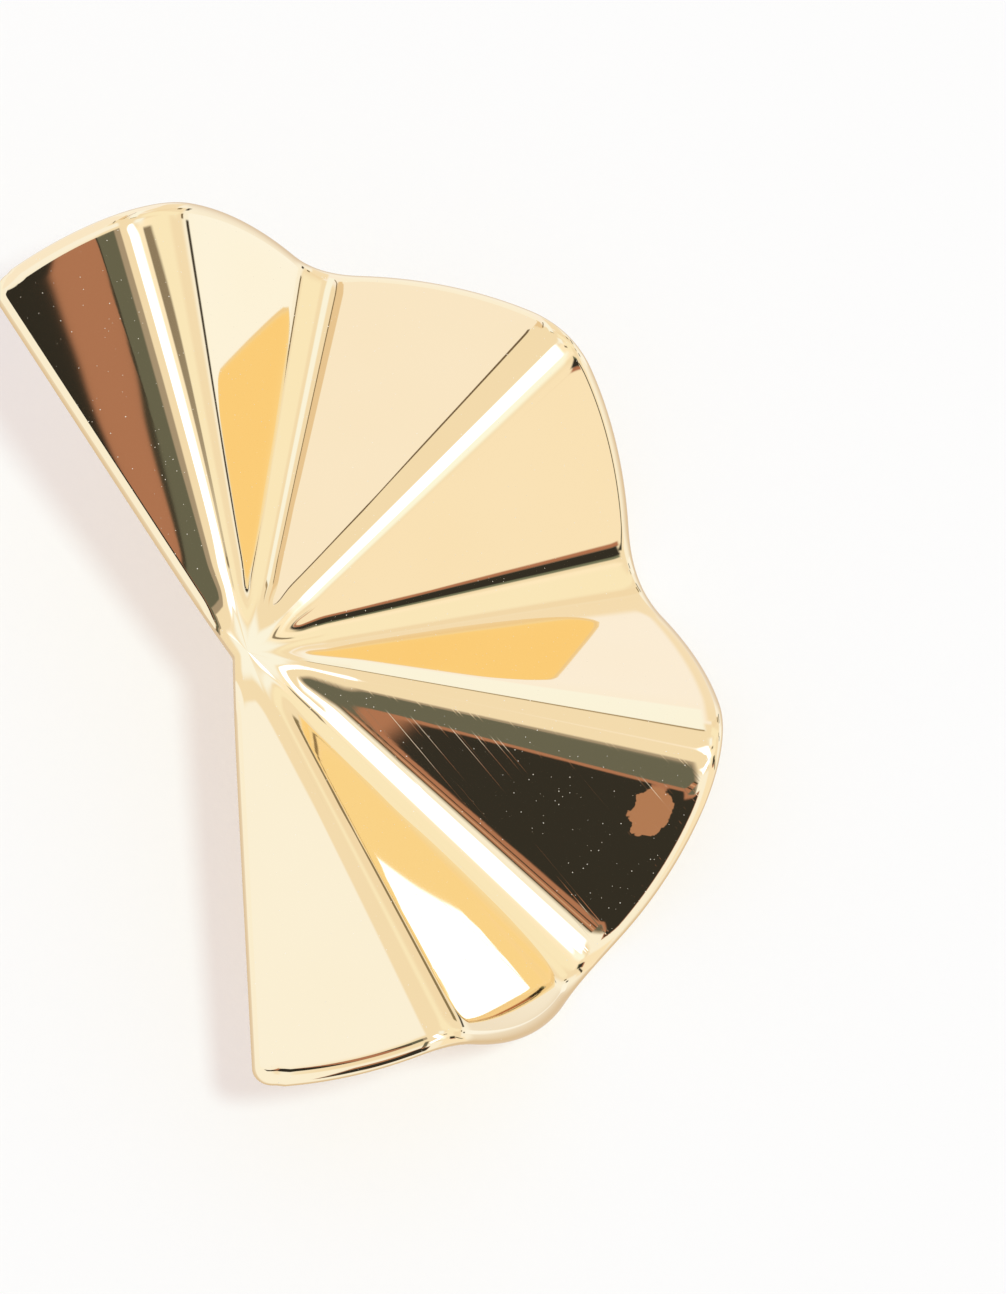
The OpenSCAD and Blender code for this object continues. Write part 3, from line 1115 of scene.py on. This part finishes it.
@dataclass
class Studio:
    """What the polished metal mirrors, the table, and the light that casts the shadow.

    Attributes:
        base: Colour that the metal mirrors where no card is.
        under: Darker colour that it mirrors far below the horizon.
        horizon: Heights of a direction between which the one goes over into the other.
        cards: The cards and lamps, each in front of those before it.
        deep_from: Numbers of reflections between which the deep cards start to show.
        table_white: Colour of the table.
        plain: Even light on the table.
        backdrop: What the lens sees past the table.
        key_from: Direction that the light with the shadow comes from.
        key_angle: How wide that light is, in degrees.
        key_light: Its colour.
        key_strength: Its strength.
        fill_light: Colour of the light without a shadow.
        fill_strength: Its strength.
        table_reach: Radius of the table, in metres.
        table_drop: How far it lies below the stud, in metres.
        table_steps: Corners of its outline.
    """

    base: Colour = (1.0, 1.07, 1.25)
    under: Colour = (0.74, 0.64, 0.55)
    horizon: tuple[float, float] = (-0.3, -0.8)
    cards: tuple[Card, ...] = (
        # The walls that the wide bright facets mirror.
        Card((40, 35), (56, 48), (0.93, 0.89, 0.85), 4),
        Card((-45, 70), (25.5, 34), CREAM, 0.8),
        Card((-20, 34.6), (27, 10), (1.0, 1.09, 1.33), 4, 23.7),
        # The brown band and the dark lines to the sides of the third facet.
        Card((8, 79), (7, 12), (0.83, 0.70, 0.57), 1.0, -30),
        Card((-29.3, 90.1), (31.5, 20), CREAM, 0.8, -35),
        Card((-9, 63), (1.4, 6.5), (0.16, 0.12, 0.08), 0.5, -6),
        # The bright and tan walls beside the fifth and the last facet.
        Card((30, 101), (16, 26), (1.0, 1.05, 1.28), 3),
        Card((29.5, 81.5), (6.5, 19.5), (1.0, 1.13, 1.40), 2),
        Card((58, 103), (19, 22), (0.94, 0.895, 0.86), 3),
        Card((68, 75.5), (18, 6), (0.92, 0.86, 0.80), 1.5, 10),
        Card((17, 82), (1.0, 15), (0.20, 0.16, 0.11), 0.6, -27),
        Card((30.5, 62), (5, 1.4), (0.40, 0.33, 0.24), 0.8),
        # The plain fourth facet, and what shows beside it.
        Card((80, -35), (24, 32), (0.986, 0.955, 0.94), 5),
        Card((58, 22), (16, 15), (1.03, 1.02, 1.03), 3, -49),
        Card((68, 54), (24, 8), BEIGE, 4, -20),
        Card((68, 38), (9, 16), BEIGE, 5),
        Card((54, 6), (5.5, 10), (1.02, 1.18, 1.40), 4),
        Card((59.5, 58.8), (13, 4.5), YELLOW, 1.5, -25, True),
        Card((67, 49), (6, 12), YELLOW, 1.5, 0, True),
        # The lamps, which make the white streaks of the crests and the wedge of the seventh facet.
        Card((40.2, 20.4), (13.6, 5.9), LAMP, 2.4, -49),
        Card((34.2, 21.8), (3.3, 1.8), LAMP, 1.0, 14),
        Card((37.3, -2.4), (4.4, 12.6), LAMP, 2.0, -49),
        Card((52, 10), (12, 9), (1.02, 1.02, 0.96), 1.5, 66, True),
        Card((42.7, -6.1), (12, 6), (1.5, 2.1, 4.6), 0.25, 66, True),
        Card((45, 41), (6.5, 7.5), (1.0, 1.13, 1.42), 4),
        # The dark line under the fourth facet.
        Card((75, 6), (6, 3), (0.19, 0.23, 0.20), 1.5),
        Card((78, -11), (6, 3), (0.45, 0.21, 0.155), 1.5),
        Card((76, -2), (6, 7), SOOT, 1.5),
        Card((91, -12), (2.2, 14), (0.05, 0.05, 0.045), 1.5, 35),
        # Dark lines beside the first crest, and the bright second facet.
        Card((56, 28.3), (4.5, 2.5), (0.28, 0.25, 0.22), 1.2, 10),
        Card((116, 37), (11, 14), (1.02, 1.12, 1.37), 2),
        Card((103, 33), (2, 5), (0.05, 0.045, 0.04), 1.2),
        Card((96, 43), (1.5, 4.5), (0.20, 0.16, 0.10), 0.8),
        Card((99, 75), (2.5, 9), (0.06, 0.055, 0.05), 1.5),
        Card((85, 77), (3.5, 5), (0.26, 0.22, 0.15), 0.8),
        # The dark first facet with its copper band.
        Card((-5.5, 14.7), (20, 6.2), GREY, 1.5, 22),
        Card((-5.2, 15.0), (9, 6), (0.14, 0.155, 0.14), 1.5, 20),
        Card((-19.4, 9.25), (7.9, 6.1), (0.03, 0.03, 0.03), 0.35, 25.5),
        Card((-13.8, 12.0), (1.7, 6.1), COPPER, 0.25, 25.5),
        Card((-12.0, 12.9), (0.32, 6.1), (0.05, 0.05, 0.045), 0.2, 25.5),
        # The dark sixth facet with its copper edges and dent.
        Card((17, -15), (5.5, 19), GREY, 2),
        Card((15.6, -17), (4.6, 17), (0.145, 0.16, 0.15), 1.0),
        Card((5, -44.7), (10, 17.0), COPPER, 0.5),
        Card((20, -50), (14, 16.5), COPPER, 1.0),
        Card((4.5, -46.3), (8.5, 16.0), SOOT, 0.7),
        Card((20, -51), (12, 15), SOOT, 1.0),
        Card((-0.5, -32), (4.5, 4.5), (0.46, 0.25, 0.18), 0.8),
        Card((17.2, -26.9), (5.2, 1.8), COPPER, 0.4, 52),
        Card((16.5, -27.8), (0.6, 1.8), (0.05, 0.045, 0.04), 0.3, 52),
        Card((18.6, -25.0), (0.8, 1.8), (0.60, 0.38, 0.30), 0.3, 52),
        Card((20.8, -22.3), (0.8, 1.8), (0.08, 0.07, 0.05), 0.4, 52),
    )
    deep_from: tuple[float, float] = (1.4, 1.6)
    table_white: Colour = (0.88, 0.88, 0.88)
    plain: Colour = (0.60, 0.54, 0.52)
    backdrop: Colour = (0.97, 0.97, 0.97)
    key_from: Colour = (0.23, -0.34, 1.0)
    key_angle: float = 7.0
    key_light: Colour = (0.51, 0.71, 0.72)
    key_strength: float = 1.12
    fill_light: Colour = (1.0, 0.97, 1.01)
    fill_strength: float = 1.1
    table_reach: float = 0.8
    table_drop: float = 0.00003
    table_steps: int = 96

    def chart(self, kit: NodeKit, camera: Matrix) -> tuple[bpy.types.NodeSocket, bpy.types.NodeSocket]:
        """Angles to the right of the lens and above it of a direction.

        Args:
            kit: The world's nodes.
            camera: The fixed axes that the angles are counted from.

        Returns:
            The two output sockets, in degrees.
        """
        way = kit.add("ShaderNodeTexCoord").outputs["Generated"]
        right, up, back = (kit.dot(way, Vector(axis)) for axis in camera.transposed())
        limit = 0.99999
        angle = kit.math("ARCCOSINE", kit.math("MINIMUM", kit.math("MAXIMUM", back, -limit), limit))
        spread_out = kit.math("DIVIDE", kit.math("DEGREES", angle), kit.math("SINE", angle))
        return kit.times(right, spread_out), kit.times(up, spread_out)

    def card_share(self, kit: NodeKit, x: Value, y: Value, card: Card) -> bpy.types.NodeSocket:
        """How much of a card is seen in a direction.

        Args:
            kit: The world's nodes.
            x: Angle to the right.
            y: Angle above.
            card: The card.

        Returns:
            The share.
        """
        cos, sin = math.cos(math.radians(card.turn)), math.sin(math.radians(card.turn))
        dx, dy = kit.minus(x, card.place[0]), kit.minus(y, card.place[1])
        along = kit.plus(kit.times(dx, cos), kit.times(dy, sin))
        across = kit.minus(kit.times(dy, cos), kit.times(dx, sin))
        shares = [
            kit.step(kit.math("ABSOLUTE", value), half + card.soft, half - card.soft)
            for value, half in ((along, card.half[0]), (across, card.half[1]))
        ]
        return kit.times(*shares)

    def surround(self, kit: NodeKit, camera: Matrix) -> bpy.types.NodeSocket:
        """The colours that the metal mirrors.

        Args:
            kit: The world's nodes.
            camera: The fixed axes that the cards' angles are counted from.

        Returns:
            The colour.
        """
        x, y = self.chart(kit, camera)
        height = kit.pick(kit.add("ShaderNodeTexCoord").outputs["Generated"], 2)
        seen: Value | Colour = kit.mix(kit.step(height, *self.horizon), self.base, self.under)
        twice = kit.step(kit.add("ShaderNodeLightPath").outputs["Glossy Depth"], *self.deep_from)
        for card in self.cards:
            share = self.card_share(kit, x, y, card)
            share = kit.times(share, twice) if card.deep else share
            seen = kit.mix(share, seen, card.light)
        return seen

    def build_world(self, camera: Matrix) -> None:
        """Makes the world: the surround for the metal, and even light for the table."""
        world = bpy.data.worlds.new("studio")
        world.use_nodes = True
        kit = NodeKit(world.node_tree)
        path = kit.add("ShaderNodeLightPath")
        even = kit.mix(path.outputs["Is Camera Ray"], self.plain, self.backdrop)
        choice = kit.add("ShaderNodeMixShader")
        kit.feed(choice.inputs["Fac"], path.outputs["Is Glossy Ray"])
        for socket, colour in ((choice.inputs[1], even), (choice.inputs[2], self.surround(kit, camera))):
            glow = kit.add("ShaderNodeBackground")
            kit.feed(glow.inputs["Color"], colour)
            kit.feed(socket, glow.outputs["Background"])
        kit.feed(world.node_tree.nodes["World Output"].inputs["Surface"], choice.outputs["Shader"])
        world.cycles.sampling_method = "NONE"
        bpy.context.scene.world = world

    def build_table(self) -> None:
        """Makes the white table that the stud lies on."""
        top = bmesh.new()
        bmesh.ops.create_circle(top, cap_ends=True, segments=self.table_steps, radius=self.table_reach)
        bmesh.ops.translate(top, verts=top.verts, vec=(0, 0, -self.table_drop))
        data = bpy.data.meshes.new("table")
        top.to_mesh(data)
        top.free()
        made = bpy.data.objects.new("table", data)
        bpy.context.scene.collection.objects.link(made)
        white = bpy.data.materials.new("table_white")
        white.use_nodes = True
        shader = white.node_tree.nodes["Principled BSDF"]
        shader.inputs["Base Color"].default_value = (*self.table_white, 1)
        shader.inputs["Roughness"].default_value = 1.0
        shader.inputs["Specular IOR Level"].default_value = 0.0
        data.materials.append(white)
        made.visible_glossy = False

    def build_sun(self, name: str, way: Colour, colour: Colour, strength: float, shadow: bool) -> None:
        """Makes a far light for the table; the surround has its mirror image.

        Args:
            name: The light's name.
            way: Direction that it comes from.
            colour: Its colour.
            strength: Its strength.
            shadow: Whether it casts a shadow.
        """
        data = bpy.data.lights.new(name, "SUN")
        data.angle = math.radians(self.key_angle)
        data.color = colour
        data.energy = strength
        data.use_shadow = shadow
        made = bpy.data.objects.new(name, data)
        made.rotation_mode = "QUATERNION"
        made.rotation_quaternion = Vector(way).to_track_quat("Z", "Y")
        made.visible_glossy = False
        bpy.context.scene.collection.objects.link(made)

    def build(self, camera: Matrix) -> None:
        """Makes the whole studio.

        Args:
            camera: The fixed axes that the cards' angles are counted from.
        """
        self.build_world(camera)
        self.build_table()
        self.build_sun("key", self.key_from, self.key_light, self.key_strength, True)
        self.build_sun("fill", (0.0, 0.0, 1.0), self.fill_light, self.fill_strength, False)
        view = bpy.context.scene.view_settings
        view.view_transform = "Standard"
        view.look = "None"


@dataclass
class PhotoCamera:
    """The camera, at the photograph's angle to the stud.

    Attributes:
        azimuth: Its turn about the upright, in degrees.
        elevation: Its angle over the table, in degrees.
        roll: Its turn about the line of sight, in degrees.
        distance: Its distance from what it aims at, in metres.
        frame_height: Height of what it sees there, in millimetres.
        aim_right: How far to the right of the pivot it aims, in millimetres.
        aim_up: How far above the pivot in the picture it aims, in millimetres.
        sensor: Width of its sensor, in millimetres.
        clip: Nearest and farthest depth that it sees, as shares of its distance.
    """

    azimuth: float = 1.0
    elevation: float = 65.45
    roll: float = 0.0
    distance: float = 0.9
    frame_height: float = 66.86
    aim_right: float = 13.19
    aim_up: float = 0.23
    sensor: float = 36.0
    clip: tuple[float, float] = (0.01, 10.0)

    def build(self, pivot: Vector) -> bpy.types.Object:
        """Makes the camera and sets it as the scene's.

        Args:
            pivot: The pivot of the folds, in metres.

        Returns:
            The camera.
        """
        a, e = math.radians(self.azimuth), math.radians(self.elevation)
        back = Vector((math.sin(a) * math.cos(e), -math.cos(a) * math.cos(e), math.sin(e)))
        turn = back.to_track_quat("Z", "Y").to_matrix() @ Matrix.Rotation(math.radians(self.roll), 3, "Z")
        aim = pivot + turn @ Vector((self.aim_right, self.aim_up, 0)) * MM
        data = bpy.data.cameras.new("camera")
        data.sensor_width = self.sensor
        data.lens = self.sensor * self.distance / (self.frame_height * MM)
        data.clip_start, data.clip_end = (self.distance * share for share in self.clip)
        made = bpy.data.objects.new("camera", data)
        made.matrix_world = Matrix.Translation(aim + turn @ Vector((0, 0, self.distance))) @ turn.to_4x4()
        bpy.context.scene.collection.objects.link(made)
        bpy.context.scene.camera = made
        return made


def main() -> None:
    """Builds the stud, the table, the light and the camera."""
    logging.basicConfig(level=logging.INFO, format="%(message)s")
    sheet = FanSheet()
    post = EarPost(sheet)
    mount = next(m for m in frame["record"]["mounts"] if m["name"] == "ear_post")
    place = Placing(mount).matrix(post)
    maker = SkinMaker(place)
    skin = maker.closed_skin(SheetRows(sheet).rows(), Vector((0, 0, 0)), Vector((0, 0, -sheet.sheet_wall)))
    boss = maker.lathe(post.boss_profile(), post.post_ahead, post.spin_steps)
    fan = maker.piece("polished_fan", [skin, boss])
    pin = maker.piece("turned_post", [maker.lathe(post.post_profile(), post.post_ahead, post.spin_steps)])
    polished = Gold().material("polished_gold", place, sheet)
    satin = Gold(roughness=0.16, bows=(), dent=Dent(lean=0.0), dust=0.03).material("post_gold", place, sheet)
    for made, node, slot, gold in (
        (fan, "pleated_fan", "polished_gold", polished),
        (pin, "ear_post", "post_gold", satin),
    ):
        made.data.materials.append(gold)
        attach(made, "root")
        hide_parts(node)
        LOG.info("%s: %d faces", made.name, len(made.data.polygons))
    camera = PhotoCamera().build(place @ Vector((0, 0, 0)))
    Studio().build(camera.matrix_world.to_3x3())


if __name__ == "__main__":
    main()
